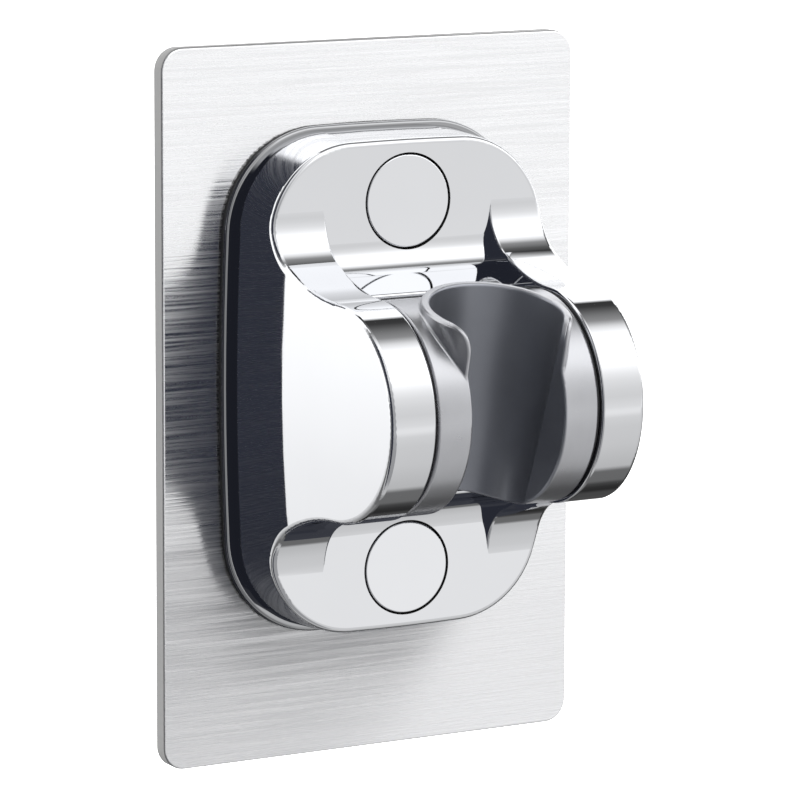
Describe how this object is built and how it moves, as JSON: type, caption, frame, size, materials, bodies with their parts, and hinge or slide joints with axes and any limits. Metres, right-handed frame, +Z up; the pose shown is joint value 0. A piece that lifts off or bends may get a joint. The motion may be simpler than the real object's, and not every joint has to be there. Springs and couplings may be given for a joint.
{
  "type": "hand shower holder",
  "caption": "Wall bracket for a hand shower: a bright chrome body on a brushed backing plate, with a tilting open-front cradle that takes the hose end of the handset.",
  "frame": {"origin": "centre of the adhesive sheet's wall face", "axes": "+Z up, +Y into the wall, so the cradle faces -Y, and +X to the right as seen from the front"},
  "size_m": [0.081, 0.0546, 0.125],
  "materials": {
    "adhesive": "matte",
    "plate": "satin",
    "chrome": "polished",
    "cap": "gloss",
    "steel": "satin",
    "grey_plastic": "satin",
    "natural_plastic": "satin",
    "dark_plastic": "matte"
  },
  "bodies": {
    "holder": {"adhesive_sheet": "adhesive", "backing_plate": "plate", "base_ring": "chrome", "bracket_body": "chrome", "upper_cap": "cap", "lower_cap": "cap", "mounting_studs": "steel", "stud_washers": "steel", "stud_nuts": "steel", "pivot_plungers": "natural_plastic", "pivot_springs": "steel", "friction_washers": "dark_plastic"},
    "cradle": {"cradle": "grey_plastic"}
  },
  "joints": [
    {"name": "cradle_tilt", "type": "hinge", "parent": "holder", "child": "cradle", "pos_m": [0, -0.036, 0.0039], "axis": [1, 0, 0], "range_deg": [-14, 41]}
  ]
}
